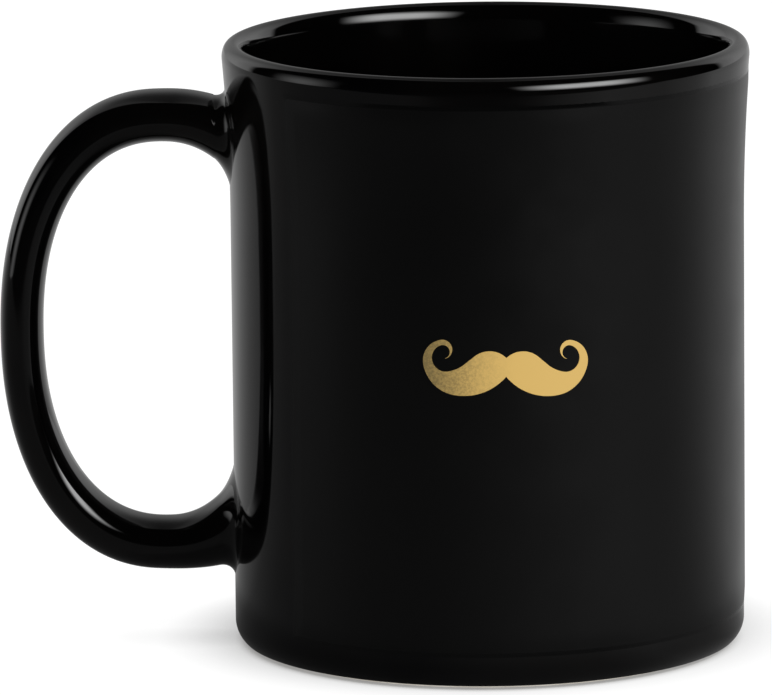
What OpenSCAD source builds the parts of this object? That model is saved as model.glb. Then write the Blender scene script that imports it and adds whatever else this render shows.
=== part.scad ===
// Glazed ceramic mug with a loop handle, a printed wrap round the wall and a gold moustache on the wrap.
// Frame: +Z up, origin at the middle of the foot, on the table. The handle points to -X and the
// moustache faces -Y. Sizes are in millimetres.

/* [Vessel] */
// Height from the table to the top of the rim
mug_height = 96; // [84:1:120]
// Diameter of the straight wall, over the glaze
wall_d = 80.8; // [72:0.1:95]
// Thickness of the clay in the wall
wall_clay = 2.7; // [2.3:0.1:4]
// Thickness of the clay in the floor
floor_clay = 5.5; // [4:0.1:8]
// Radius between the floor and the wall, inside
bowl_round = 10; // [5:0.5:16]

/* [Rim] */
// How far the rim leans out past the wall
rim_flare = 1.08; // [0.8:0.02:1.6]
// Height over which the wall leans out to the rim, outside
neck_height = 26; // [18:0.5:32]
// Height over which the wall leans out to the rim, inside
mouth_height = 25; // [18:0.5:32]
// Radius of the rim's top
rim_round = 1.2; // [1:0.05:1.4]
// Radius of the rim's outer face
lip_round = 3.1; // [2:0.1:5]
// Radius of the rim's inner face
brim_round = 5.2; // [3:0.1:8]

/* [Foot] */
// Radius where the wall turns under to the foot
heel_round = 3.5; // [2.5:0.1:6]
// Width of the flat foot ring
foot_ring_w = 3.2; // [2:0.1:5]
// Depth of the well inside the foot ring
well_depth = 1.6; // [1:0.1:3]
// Height of bare clay that the glaze leaves above the table
bare_height = 1; // [0.5:0.1:1.5]

/* [Glaze and print] */
// Thickness of the fired glaze
glaze = 0.4; // [0.2:0.05:0.6]
// Thickness of the clear bond between the glaze and the printed wrap
wrap_bond = 0.05; // [0.03:0.01:0.1]
// Thickness of the printed wrap
wrap_film = 0.1; // [0.05:0.01:0.2]
// Width of the printed wrap along the wall
wrap_w = 197.5; // [160:0.5:200]
// Bare wall between the heel and the printed wrap
wrap_foot_gap = 1.6; // [0.2:0.1:10]
// Distance from the top of the rim down to the printed wrap
wrap_drop = 3.8; // [3.5:0.1:20]

/* [Handle] */
// How far the handle stands out from the wall
handle_reach = 36.6; // [32:0.1:45]
// Distance from the wall to the highest point of the loop
loop_offset = 10.8; // [9:0.1:13]
// Distance from the top of the rim down to the top of the handle
handle_drop = 7.6; // [6:0.1:20]
// Distance from the table up to the underside of the handle
handle_lift = 11.7; // [10:0.1:20]
// Thickness of the handle at the grip, in the plane of the loop
grip_t = 6.8; // [5:0.1:9]
// Thickness of the handle at its top and underside
arm_t = 8.1; // [6:0.1:10]
// Width of the handle at the grip
grip_w = 12; // [9:0.1:16]
// Width of the handle at its roots
root_w = 13; // [10:0.1:18]
// How much each side of the upper root swells towards the wall
upper_swell = 0.9; // [0:0.1:2]
// How much each side of the lower root swells towards the wall
lower_swell = 2; // [0:0.1:3]
// Radius of the slip fillets round the roots
slip_round = 2.8; // [1.5:0.1:3.5]

/* [Moustache] */
// Width of the moustache along the wall
moustache_w = 25.8; // [16:0.1:50]
// Height of the middle of the moustache above the table
moustache_z = 51.2; // [30:0.1:70]
// Turn of the moustache round the wall, from -Y towards +X, in degrees
moustache_turn = 4; // [-20:0.5:20]
// Tilt of the moustache on the wall, its right end up, in degrees
moustache_tilt = -1.3; // [-5:0.1:5]
// Thickness of the gold
gold_film = 0.1; // [0.05:0.01:0.2]

/* [Hidden] */
$fn = 180;

CLAY = "#d8d2c6";
SLIP = "#cfc8ba";
BLACK_GLAZE = "#0b0b0c";
BLACK_PRINT = "#191919";
GOLD = "#deb868";

// Largest angle between two points of an arc, and largest distance of the arc from the line between them
arc_step_angle = 5;
arc_error = 0.01;

// Radii of the clay wall, outside and inside
clay_r = wall_d / 2 - glaze;
bowl_r = clay_r - wall_clay;

// Rim: arcs of its outer face, its top and its inner face, which join at one angle on both sides of the top
lip_angle = 22;
lip_c = [clay_r + rim_flare - lip_round,
         mug_height - glaze - rim_round - (lip_round - rim_round) * sin(lip_angle)];
top_c = lip_c + (lip_round - rim_round) * [cos(lip_angle), sin(lip_angle)];
brim_c = top_c + (brim_round - rim_round) * [cos(lip_angle), -sin(lip_angle)];

// Arc that leans the wall out, outside, and touches both the wall and the lip
neck_z = lip_c.y - neck_height;
neck_r = (pow(neck_height, 2) + pow(rim_flare, 2)) / (2 * rim_flare) - lip_round;
neck_c = [clay_r + neck_r, neck_z];
neck_turn = atan2(neck_height, lip_c.x - neck_c.x);

// Arc that leans the wall out, inside, and touches both the bowl's wall and the brim
opening = brim_c.x - brim_round - bowl_r;
mouth_r = (pow(mouth_height, 2) + pow(opening, 2)) / (2 * opening) + brim_round;
mouth_c = [bowl_r + mouth_r, brim_c.y - mouth_height];
mouth_turn = atan2(mouth_height, brim_c.x - mouth_c.x);

// Floor, heel and foot ring
floor_z = well_depth + floor_clay;
bowl_c = [bowl_r - bowl_round, floor_z + bowl_round];
heel_c = [clay_r - heel_round, heel_round];
bare_angle = asin(1 - bare_height / heel_round);
well_r = heel_c.x - foot_ring_w;
cove_c = [well_r - well_depth, 0];
// Angle up the cove of the well to which the clay stays bare
cove_bare_angle = 35;

// Printed wrap
wall_r = wall_d / 2;
wrap_r = wall_r + wrap_bond;
print_r = wrap_r + wrap_film;
wrap_angle = wrap_w / wall_r * 180 / PI;
wrap_z = heel_round + wrap_foot_gap;
wrap_top = mug_height - wrap_drop;

// Handle loop: its outer and inner edges are ovals round one centre, in the clay
loop_fullness = 2.2;
section_fullness = 2.4;
handle_top = mug_height - handle_drop;
loop_x = -(wall_r + loop_offset);
loop_z = (handle_top + handle_lift) / 2;
outer_a = handle_reach - loop_offset - glaze;
outer_b = (handle_top - handle_lift) / 2 - glaze;
inner_a = outer_a - grip_t + 2 * glaze;
inner_b = outer_b - arm_t + 2 * glaze;
root_half_w = root_w / 2 - glaze;
grip_half_w = grip_w / 2 - glaze;

// Rings of the handle: points in a ring, steps of the fillet, rings along the loop
ring_sides = 28;
fillet_steps = 6;
loop_steps = 30;
// Share of the loop, from each root, over which its rings ease from the wall's curve to flat
saddle_share = 0.2;
// How far a root runs into the wall, past its curve, before it is cut to that curve
sink_margin = 0.5;
// How far the slip's flat facets stay off the round wall
slip_seat = 0.03;
root_sink = clay_r - sqrt(pow(clay_r, 2) - pow(root_half_w, 2)) + sink_margin;
// Height of the middles of the roots off the middle of the loop
root_rise = (edge_rise(outer_a, outer_b, -clay_r) + edge_rise(inner_a, inner_b, -clay_r)) / 2;

// Bends of the moustache's upper and lower edges, from its notches to its curled tip, as [radius, turn] or
// [length, 0], in proportion to half its height between the notches
upper_start_angle = 44;
upper_bends = [[2.52, -84], [1.34, 0], [3.86, 30], [1.45, 169], [0.73, 181]];
lower_start_angle = -50;
lower_bends = [[6, 60], [3.93, 69], [2.31, 91], [1.03, 173]];

// Points of an arc about c, from angle a0 to angle a1
function arc(c, r, a0, a1) =
    let (n = max(1, ceil(abs(a1 - a0) / min(arc_step_angle, 162 * sqrt(arc_error / r)))))
    [for (i = [0:n]) c + r * [cos(a0 + (a1 - a0) * i / n), sin(a0 + (a1 - a0) * i / n)]];

// A list without its first point, and a list from its end to its start
function tail(list) = [for (i = [1:len(list) - 1]) list[i]];
function reversed(list) = [for (i = [len(list) - 1:-1:0]) list[i]];

// Half section of the outside, from an angle on the heel to the top of the rim, grown off the clay
function outside_path(grow, heel_from) = concat(
    arc(heel_c, heel_round + grow, heel_from, 0),
    arc(neck_c, neck_r - grow, 180, neck_turn),
    tail(arc(lip_c, lip_round + grow, neck_turn - 180, lip_angle)),
    tail(arc(top_c, rim_round + grow, lip_angle, 90)));

// Half section of the inside, from the top of the rim to the middle of the floor, grown off the clay
function inside_path(grow) = concat(
    arc(top_c, rim_round + grow, 90, 180 - lip_angle),
    tail(arc(brim_c, brim_round + grow, 180 - lip_angle, mouth_turn)),
    tail(arc(mouth_c, mouth_r + grow, mouth_turn, 180)),
    arc(bowl_c, bowl_round - grow, 0, -90),
    [[0, floor_z + grow]]);

// Half section of the wall under the printed wrap, which may run up onto the neck
function wrap_path(grow) = concat(
    [[clay_r + grow, wrap_z]],
    wrap_top > neck_z ? arc(neck_c, neck_r - grow, 180, 180 - asin((wrap_top - neck_z) / neck_r))
                      : [[clay_r + grow, wrap_top]]);

// Half section of a coat between two paths
module coat(outer, inner) {
    rotate_extrude() polygon(concat(outer, reversed(inner)));
}

// Sine or cosine drawn out to an oval of the given fullness, 2 being an ellipse
function full(v, fullness) = sign(v) * pow(abs(v), 2 / fullness);

// Height of a loop edge above the loop's middle at x, and the angle at which the edge reaches x
function edge_rise(a, b, x) = b * pow(1 - pow(abs(x - loop_x) / a, loop_fullness), 1 / loop_fullness);
function edge_angle(a, x) = acos(pow((x - loop_x) / a, loop_fullness / 2));
function edge_point(a, b, angle) =
    [loop_x + a * full(cos(angle), loop_fullness), loop_z + b * full(sin(angle), loop_fullness)];

// Extra half thickness near a root, rising with the square of the way from the loop's top to the wall
function swell(x, side) =
    (side > 0 ? upper_swell : lower_swell) * pow(max(0, (x - loop_x) / (-clay_r - loop_x)), 2);

// Radius of the clay wall at a height under the lip, and behind a root's middle. side is 1 above, -1 below
function clay_wall(z) = z > neck_z ? neck_c.x - sqrt(pow(neck_r, 2) - pow(z - neck_z, 2)) : clay_r;
function root_wall(side) = clay_wall(loop_z + side * root_rise);

// Outline [y, z] of a root where the fillet has turned by turn, grown by grow
function root_outline(turn, grow, side) =
    let (x = -root_wall(side) - slip_round * (1 - sin(turn)),
         rise_out = edge_rise(outer_a, outer_b, x),
         rise_in = edge_rise(inner_a, inner_b, x),
         mid = loop_z + side * (rise_out + rise_in) / 2,
         half = (rise_out - rise_in) / 2 + swell(x, side) + grow)
    [for (j = [0:ring_sides - 1])
        let (a = 360 * j / ring_sides)
        [(root_half_w + grow) * full(sin(a), section_fullness),
         mid + side * half * full(cos(a), section_fullness)]];

// That outline as a ring laid at a distance off the clay wall, or flat inside the wall
function on_wall(outline, distance) =
    [for (p = outline) [-sqrt(pow(clay_wall(p.y) + distance, 2) - pow(p.x, 2)), p.x, p.y]];
function in_wall(outline) = [for (p = outline) [root_sink - clay_r, p.x, p.y]];

// Ring of the plain handle, and outline and ring of the slip fillet grown by a coat, at a fillet's turn
function plain_ring(turn, side) = on_wall(root_outline(turn, 0, side), slip_round * (1 - sin(turn)));
function fillet_outline(turn, coat_t, side) =
    root_outline(turn, slip_round - (slip_round - coat_t) * cos(turn), side);
function fillet_ring(turn, coat_t, side) =
    on_wall(fillet_outline(turn, coat_t, side), slip_round - (slip_round - coat_t) * sin(turn));

// Angle of a loop edge, and ring of the loop, at share t of the way from the upper root to the lower root
function loop_angle(a, t) =
    let (first = edge_angle(a, -root_wall(1) - slip_round),
         last = 360 - edge_angle(a, -root_wall(-1) - slip_round))
    first + (last - first) * t;
function loop_ring(t, coat_t) =
    let (outer = edge_point(outer_a, outer_b, loop_angle(outer_a, t)),
         inner = edge_point(inner_a, inner_b, loop_angle(inner_a, t)),
         mid = (outer + inner) / 2,
         across = (outer - inner) / norm(outer - inner),
         half = norm(outer - inner) / 2 + swell(mid.x, t < 0.5 ? 1 : -1) + coat_t,
         half_w = root_half_w + (grip_half_w - root_half_w) * sin(180 * t) + coat_t,
         ease = max(0, 1 - min(t, 1 - t) / saddle_share),
         saddle = ease * ease * (3 - 2 * ease),
         reach = clay_r + slip_round)
    [for (j = [0:ring_sides - 1])
        let (a = 360 * j / ring_sides,
             y = half_w * full(sin(a), section_fullness),
             p = mid + across * half * full(cos(a), section_fullness))
        [p.x + saddle * (reach - sqrt(reach * reach - y * y)), y, p.y]];

// Turns of the fillet from the wall to the plain handle, those between the slip's blunt edges, and
// shares of the loop between its ends
turns = [for (k = [0:fillet_steps]) 90 * (1 - k / fillet_steps)];
slip_turns = [for (k = [1:fillet_steps - 1]) turns[k]];
shares = [for (k = [1:loop_steps - 1]) k / loop_steps];

// Triangles between rings i and k, facing out, or facing in where inward
function strip(i, k, inward) = [for (j = [0:ring_sides - 1])
    let (a = i * ring_sides + j, b = i * ring_sides + (j + 1) % ring_sides,
         c = k * ring_sides + (j + 1) % ring_sides, d = k * ring_sides + j)
    each inward ? [[a, b, c], [a, c, d]] : [[a, c, b], [a, d, c]]];

// Faces of a run of rings from first to last
function skin(first, last, inward) = [for (i = [first:last - 1]) each strip(i, i + 1, inward)];

// All points of a list of rings
function points_of(rings) = [for (ring = rings) each ring];

// Solid between two skins that follow the same stations, closed by a strip at each end
module shell(outer, inner) {
    n = len(outer);
    polyhedron(points_of(concat(outer, inner)),
               concat(skin(0, n - 1, false), skin(n, 2 * n - 1, true),
                      strip(0, n, true), strip(n - 1, 2 * n - 1, false)));
}

// The clay vessel's outside form, for cutting the handle's roots to its curve
module outside_form() {
    rotate_extrude() polygon(concat([[0, 0]], outside_path(0, -90), [[0, top_c.y + rim_round]]));
}

// Fillet of slip round one root, from its blunt edge on the handle to its blunt edge on the wall
module slip_joint(side) {
    edge = fillet_outline(slip_turns[0], 0, side);
    root = root_outline(slip_turns[0], 0, side);
    outer = concat([on_wall(edge, slip_seat)], [for (t = slip_turns) fillet_ring(t, 0, side)]);
    inner = concat([on_wall(root, slip_seat)], [for (t = slip_turns) plain_ring(t, side)]);
    if (side > 0) shell(outer, inner);
    else shell(reversed(outer), reversed(inner));
}

// Points after p along bends, each a [radius, turn] or a straight [length, 0], starting at a heading
function bend_points(p, heading, bend) =
    bend[1] == 0 ? [p + bend[0] * [cos(heading), sin(heading)]] :
    let (n = ceil(abs(bend[1]) / (2 * arc_step_angle)), r = sign(bend[1]) * bend[0])
    [for (i = [1:n])
        let (h = heading + bend[1] * i / n)
        p + r * [sin(h) - sin(heading), cos(heading) - cos(h)]];
function bent_path(p, heading, bends, k = 0) =
    k == len(bends) ? [] :
    let (points = bend_points(p, heading, bends[k]))
    concat(points, bent_path(points[len(points) - 1], heading + bends[k][1], bends, k + 1));

// Flat outline of the moustache: right half from the upper notch round the curl to the lower notch, mirrored
function moustache_outline() =
    let (upper = bent_path([0, 1], upper_start_angle, upper_bends),
         lower = bent_path([0, -1], lower_start_angle, lower_bends),
         right = concat([[0, 1]], upper, reversed(lower), [[0, -1]]),
         left = [for (i = [len(right) - 2:-1:1]) [-right[i].x, right[i].y]],
         half_w = max([for (p = right) p.x]))
    concat(right, left) * (moustache_w / 2 / half_w);

// Widths along the wall as seen straight on, for an outline that is projected onto the wall
function seen_straight(points) = [for (p = points) [print_r * sin(p.x / print_r * 180 / PI), p.y]];

module clay_body() {
    color(CLAY) rotate_extrude()
        polygon(concat([[0, well_depth]], arc(cove_c, well_depth, 90, 0),
                       outside_path(0, -90), tail(inside_path(0))));
}

module handle() {
    off_wall = tail(turns);
    rings = concat([in_wall(root_outline(off_wall[0], 0, 1))],
                   [for (t = off_wall) plain_ring(t, 1)],
                   [for (t = shares) loop_ring(t, 0)],
                   [for (t = reversed(off_wall)) plain_ring(t, -1)],
                   [in_wall(root_outline(off_wall[0], 0, -1))]);
    last = len(rings) - 1;
    first_cap = [for (j = [0:ring_sides - 1]) j];
    last_cap = [for (j = [ring_sides - 1:-1:0]) last * ring_sides + j];
    color(CLAY) difference() {
        polyhedron(points_of(rings), concat(skin(0, last, false), [first_cap, last_cap]));
        outside_form();
    }
}

module upper_slip_joint() {
    color(SLIP) slip_joint(1);
}

module lower_slip_joint() {
    color(SLIP) slip_joint(-1);
}

module outside_glaze() {
    color(BLACK_GLAZE) difference() {
        coat(outside_path(glaze, -bare_angle), outside_path(0, -bare_angle));
        for (side = [1, -1])
            rotate([0, -90, 0]) rotate(-90)
                linear_extrude(height = mug_height)
                    polygon([for (p = root_outline(90, slip_round, side)) [-p.x, p.y]]);
    }
}

module inside_glaze() {
    color(BLACK_GLAZE) coat(inside_path(glaze), inside_path(0));
}

module underside_glaze() {
    color(BLACK_GLAZE) coat(
        concat(arc(cove_c, well_depth, cove_bare_angle, 90), [[0, well_depth]]),
        concat(arc(cove_c, well_depth - glaze, cove_bare_angle, 90), [[0, well_depth - glaze]]));
}

module handle_glaze() {
    color(BLACK_GLAZE) shell(
        concat([for (t = turns) fillet_ring(t, glaze, 1)], [for (t = shares) loop_ring(t, glaze)],
               [for (t = reversed(turns)) fillet_ring(t, glaze, -1)]),
        concat([for (t = turns) fillet_ring(t, 0, 1)], [for (t = shares) loop_ring(t, 0)],
               [for (t = reversed(turns)) fillet_ring(t, 0, -1)]));
}

module printed_wrap() {
    color(BLACK_PRINT) rotate([0, 0, -wrap_angle / 2])
        rotate_extrude(angle = wrap_angle)
            polygon(concat(wrap_path(print_r - clay_r), reversed(wrap_path(wrap_r - clay_r))));
}

module gold_moustache() {
    color(GOLD) rotate([0, 0, moustache_turn]) translate([0, 0, moustache_z]) intersection() {
        rotate([90, 0, 0]) linear_extrude(height = wall_d)
            rotate(moustache_tilt) polygon(seen_straight(moustache_outline()));
        difference() {
            cylinder(r = print_r + gold_film, h = moustache_w, center = true);
            cylinder(r = print_r, h = 2 * moustache_w, center = true);
        }
    }
}

clay_body();
handle();
upper_slip_joint();
lower_slip_joint();
outside_glaze();
inside_glaze();
underside_glaze();
handle_glaze();
printed_wrap();
gold_moustache();
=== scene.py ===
"""Looks of a glazed ceramic mug with a loop handle, a printed wrap and a gold moustache.

The frame is +Z up, with its origin at the middle of the foot, on the table. The handle points to -X and the
moustache faces -Y. Size fields are millimetres, as a potter writes them, and MM turns them into metres.
"""

import logging
import math
from collections.abc import Callable
from dataclasses import dataclass, field
from enum import Enum

import bpy
import numpy as np
from mathutils import Matrix, Vector


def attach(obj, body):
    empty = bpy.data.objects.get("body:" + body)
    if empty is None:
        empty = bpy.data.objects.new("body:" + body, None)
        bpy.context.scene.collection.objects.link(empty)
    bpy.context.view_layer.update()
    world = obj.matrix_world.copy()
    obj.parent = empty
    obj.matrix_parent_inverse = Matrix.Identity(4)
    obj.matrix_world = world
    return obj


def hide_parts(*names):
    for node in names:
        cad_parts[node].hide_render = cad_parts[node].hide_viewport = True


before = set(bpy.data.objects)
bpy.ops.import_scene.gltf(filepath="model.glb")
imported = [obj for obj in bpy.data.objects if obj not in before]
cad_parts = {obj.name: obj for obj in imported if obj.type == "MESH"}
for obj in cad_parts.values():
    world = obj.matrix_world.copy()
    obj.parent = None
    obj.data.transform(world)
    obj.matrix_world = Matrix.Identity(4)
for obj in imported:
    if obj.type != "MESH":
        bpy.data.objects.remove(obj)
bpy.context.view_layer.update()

MM = 0.001
BODY = "root"
CARRIED_OVER = ("clay_body", "handle", "upper_slip_joint", "lower_slip_joint")
LOG = logging.getLogger("mug")

Points = np.ndarray
Colour = tuple[float, float, float, float]
Pair = tuple[float, float]
Bends = tuple[Pair, ...]
Levels = tuple[Pair, ...]


class Root(Enum):
    """The two roots where the handle joins the wall, with the side of the loop's middle that each is on."""

    UPPER = 1
    LOWER = -1


class Slot(Enum):
    """The record's material slots."""

    CLAY = "fired_clay"
    SLIP = "fired_slip"
    GLAZE = "black_glaze"
    PRINT = "black_print"
    GOLD = "gold_print"


class Joins(Enum):
    """Which edges of a grid of points meet."""

    ROWS = "rows"
    COLUMNS = "columns"
    BOTH = "both"


# Mesh work


def arc(centre: Pair, radius: float, start: float, end: float, count: int) -> Points:
    """Points of an arc: centre plus radius times the cosine and sine of an evenly stepped angle.

    Args:
        centre: Middle of the arc.
        radius: Its radius.
        start: First angle, in degrees.
        end: Last angle, in degrees.
        count: Number of points.

    Returns:
        An array of count by 2.
    """
    angle = np.radians(np.linspace(start, end, count))
    return np.stack([centre[0] + radius * np.cos(angle), centre[1] + radius * np.sin(angle)], axis=1)


def eased_line(start: Pair, end: Pair, count: int) -> Points:
    """Points of a straight line, closer together at its ends, so that a smooth shade stays true there.

    The way along the line is half of one minus the cosine of an even angle from 0 to 180 degrees.

    Args:
        start: First point, which is left out.
        end: Last point, which is left out.
        count: Number of points between them.

    Returns:
        An array of count by 2.
    """
    share = (1 - np.cos(np.linspace(0, np.pi, count + 2)[1:-1]))[:, None] / 2
    return np.array(start) * (1 - share) + np.array(end) * share


def turned(radius: Points, angles: Points, height: Points) -> Points:
    """Points about Z: the radius times the sine and minus the cosine of the angle, at the height.

    Args:
        radius: Distances from the axis.
        angles: Angles from -Y towards +X, in radians.
        height: Heights. The three are spread out to one shape.

    Returns:
        An array of that shape by 3.
    """
    places = np.broadcast_arrays(radius * np.sin(angles), -radius * np.cos(angles), height)
    return np.stack(places, axis=-1)


def revolve(profile: Points, angles: Points) -> Points:
    """Grid of a profile turned about Z: each profile point goes round at its own radius and height.

    Args:
        profile: Radius and height of each row.
        angles: Angle of each column from -Y towards +X, in radians.

    Returns:
        An array of rows by columns by 3.
    """
    return turned(profile[:, :1], angles, profile[:, 1:])


def grid_faces(rows: int, columns: int, joins: Joins) -> Points:
    """Quads between neighbouring points of a grid, with the edges that meet joined.

    Args:
        rows: Number of rows.
        columns: Number of columns.
        joins: Which edges meet.

    Returns:
        Point numbers, an array of faces by 4.
    """
    row, column = np.meshgrid(np.arange(rows - (joins is Joins.COLUMNS)),
                              np.arange(columns - (joins is Joins.ROWS)), indexing="ij")
    next_row, next_column = (row + 1) % rows, (column + 1) % columns
    corners = [row * columns + column, row * columns + next_column,
               next_row * columns + next_column, next_row * columns + column]
    return np.stack(corners, axis=-1).reshape(-1, 4)


def six_times_volume(points: Points, faces: Points) -> float:
    """Six times the volume in a closed mesh, negative where its faces point inwards."""
    a, b, c, d = (points[faces[:, k]] for k in range(4))
    return float((np.cross(a, b) * c).sum() + (np.cross(a, c) * d).sum())


def placed(name: str, data: bpy.types.ID) -> bpy.types.Object:
    """Makes an object at the origin and links it into the scene.

    Args:
        name: Name of the object.
        data: Its mesh, light or camera.

    Returns:
        The new object.
    """
    piece = bpy.data.objects.new(name, data)
    bpy.context.scene.collection.objects.link(piece)
    return piece


@dataclass
class Skin:
    """A closed surface on a grid of points, with values that its finish reads at each point."""

    name: str
    grid: Points
    joins: Joins
    values: dict[str, Points] = field(default_factory=dict)
    sharp_over: float = 50.0
    weld: float = 1e-7

    def piece(self, slot: Slot, replaced: tuple[str, ...]) -> bpy.types.Object:
        """Makes the mesh, with points that fall together welded, and sets it in the frame.

        Args:
            slot: Material slot of the record. It is not used.
            replaced: CAD nodes that the piece stands for.

        Returns:
            The new object, at the origin.
        """
        rows, columns = self.grid.shape[:2]
        faces = grid_faces(rows, columns, self.joins)
        cells = np.round(self.grid.reshape(-1, 3) / self.weld).astype(np.int64)
        _, first, same = np.unique(cells, axis=0, return_index=True, return_inverse=True)
        points, faces = self.grid.reshape(-1, 3)[first], same.reshape(-1)[faces]
        if six_times_volume(points, faces) < 0:
            faces = faces[:, ::-1]
        mesh = bpy.data.meshes.new(self.name)
        mesh.from_pydata(points.tolist(), [], self.corners(faces))
        for label, value in self.values.items():
            layer = mesh.attributes.new(label, "FLOAT", "POINT")
            layer.data.foreach_set("value", value.reshape(-1)[first].astype(np.float32))
        mesh.shade_smooth()
        mesh.set_sharp_from_angle(angle=math.radians(self.sharp_over))
        mesh.validate()
        piece = placed(self.name, mesh)
        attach(piece, BODY)
        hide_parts(*replaced)
        return piece

    @staticmethod
    def corners(faces: Points) -> list[list[int]]:
        """Faces as lists, where a quad with two corners welded is a triangle and a lost one is left out.

        Args:
            faces: Point numbers, an array of faces by 4.

        Returns:
            Point numbers of each face that is left.
        """
        doubled = faces == np.roll(faces, -1, axis=1)
        count = doubled.sum(axis=1)
        pinched = faces[count == 1]
        keep = ~doubled[count == 1]
        return faces[count == 0].tolist() + pinched[keep].reshape(-1, 3).tolist()


# Shader work


class Nodes:
    """Short forms for building a node tree."""

    def __init__(self, tree: bpy.types.NodeTree) -> None:
        """Keeps the tree that the nodes go into."""
        self.tree = tree

    @classmethod
    def cleared(cls, owner: bpy.types.ID) -> "Nodes":
        """Switches on the node tree of a material, world or light, and empties it.

        Args:
            owner: What the tree belongs to.

        Returns:
            Short forms for the tree.
        """
        owner.use_nodes = True
        owner.node_tree.nodes.clear()
        return cls(owner.node_tree)

    def add(self, kind: str, inputs: dict[str | int, object] | None = None,
            **settings: object) -> bpy.types.Node:
        """Adds a node, sets its properties, and feeds its inputs.

        Args:
            kind: Node type.
            inputs: Value or output socket for each input, by name or number.
            **settings: Properties of the node.

        Returns:
            The new node.
        """
        node = self.tree.nodes.new(kind)
        for key, value in settings.items():
            setattr(node, key, value)
        self.fill(node, inputs or {})
        return node

    def fill(self, node: bpy.types.Node, inputs: dict[str | int, object]) -> None:
        """Links output sockets to a node's inputs, and sets the inputs that are given plain values.

        Args:
            node: Node to feed.
            inputs: Value or output socket for each input, by name or number.
        """
        for key, value in inputs.items():
            if isinstance(value, bpy.types.NodeSocket):
                self.tree.links.new(value, node.inputs[key])
            else:
                node.inputs[key].default_value = value

    def math(self, operation: str, *values: object) -> bpy.types.NodeSocket:
        """Result of one sum on values or sockets."""
        return self.add("ShaderNodeMath", dict(enumerate(values)), operation=operation).outputs[0]

    def remap(self, value: object, span: Pair, to: Pair = (0.0, 1.0),
              kind: str = "SMOOTHSTEP") -> bpy.types.NodeSocket:
        """A value carried from one range to another, held at its ends.

        Args:
            value: Value or socket.
            span: Ends of its range.
            to: What the ends become.
            kind: How it goes from one to the other.

        Returns:
            The new value's socket.
        """
        inputs = {"Value": value, "From Min": span[0], "From Max": span[1], "To Min": to[0], "To Max": to[1]}
        return self.add("ShaderNodeMapRange", inputs, interpolation_type=kind).outputs["Result"]

    def mix(self, share: object, first: object, second: object) -> bpy.types.NodeSocket:
        """A colour mixed from two by a share, on the mix node's colour sockets."""
        return self.add("ShaderNodeMix", {0: share, 6: first, 7: second}, data_type="RGBA").outputs[2]

    def attribute(self, label: str) -> bpy.types.NodeSocket:
        """A value that a piece's mesh carries at its points."""
        return self.add("ShaderNodeAttribute", attribute_name=label).outputs["Fac"]


class Groups:
    """Shader node groups that several finishes share, each built once."""

    SURFACE = "fired_surface"
    VALUE = "NodeSocketFloat"
    INPUTS = ("Wave Size", "Grain Size", "Grain Share", "Speck Spacing", "Speck Size")
    OUTPUTS = ("Height", "Specks", "Patches")

    @classmethod
    def surface(cls) -> bpy.types.NodeTree:
        """Unevenness of a fired surface: slow waves, fine grain and specks from Object coordinates.

        Inputs are sizes in millimetres. Outputs are a height, a mask of specks and a slow patchiness.

        Returns:
            The group's node tree.
        """
        found = bpy.data.node_groups.get(cls.SURFACE)
        if found:
            return found
        tree = bpy.data.node_groups.new(cls.SURFACE, "ShaderNodeTree")
        for labels, side in ((cls.INPUTS, "INPUT"), (cls.OUTPUTS, "OUTPUT")):
            for label in labels:
                tree.interface.new_socket(label, in_out=side, socket_type=cls.VALUE)
        nodes = Nodes(tree)
        given = nodes.add("NodeGroupInput").outputs
        place = nodes.add("ShaderNodeTexCoord").outputs["Object"]
        metre = 1 / MM

        def noise(size: object, detail: float) -> bpy.types.NodeSocket:
            """Noise with lumps of about one size."""
            inputs = {"Vector": place, "Scale": nodes.math("DIVIDE", metre, size), "Detail": detail}
            return nodes.add("ShaderNodeTexNoise", inputs).outputs["Fac"]

        waves, grain = noise(given["Wave Size"], 1.0), noise(given["Grain Size"], 2.0)
        height = nodes.math("MULTIPLY_ADD", grain, given["Grain Share"], waves)
        cell_scale = nodes.math("DIVIDE", metre, given["Speck Spacing"])
        cells = nodes.add("ShaderNodeTexVoronoi", {"Vector": place, "Scale": cell_scale})
        reach = nodes.math("DIVIDE", given["Speck Size"], given["Speck Spacing"])
        specks = nodes.math("LESS_THAN", cells.outputs["Distance"], reach)
        patches = noise(nodes.math("MULTIPLY", given["Wave Size"], 2.0), 3.0)
        nodes.add("NodeGroupOutput", {"Height": height, "Specks": specks, "Patches": patches})
        return tree


@dataclass(frozen=True)
class Finish:
    """What every finish has: a name and the sizes, in millimetres, of its surface's unevenness.

    The surface's patches mostly run over PATCH_SPAN, from one look to the other.
    """

    PATCH_SPAN = (0.3, 0.7)

    name: str
    wave_size: float
    grain_size: float
    grain_share: float
    speck_spacing: float
    speck_size: float
    bump: float

    def start(self) -> tuple[bpy.types.Material, Nodes, bpy.types.Node, bpy.types.Node]:
        """Makes an empty material with its shader and the shared surface group.

        Returns:
            The material, its nodes, the Principled shader and the group's node.
        """
        material = bpy.data.materials.new(self.name)
        material.use_nodes = True
        nodes = Nodes(material.node_tree)
        shader = material.node_tree.nodes["Principled BSDF"]
        surface = nodes.add("ShaderNodeGroup", node_tree=Groups.surface())
        sizes = (self.wave_size, self.grain_size, self.grain_share, self.speck_spacing, self.speck_size)
        nodes.fill(surface, dict(zip(Groups.INPUTS, sizes)))
        return material, nodes, shader, surface

    def roughen(self, nodes: Nodes, shader: bpy.types.Node, height: bpy.types.NodeSocket) -> None:
        """Feeds a height through a bump of this finish's depth to the shader's normal."""
        inputs = {"Strength": 1.0, "Distance": self.bump * MM, "Height": height}
        nodes.fill(shader, {"Normal": nodes.add("ShaderNodeBump", inputs).outputs["Normal"]})


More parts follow.
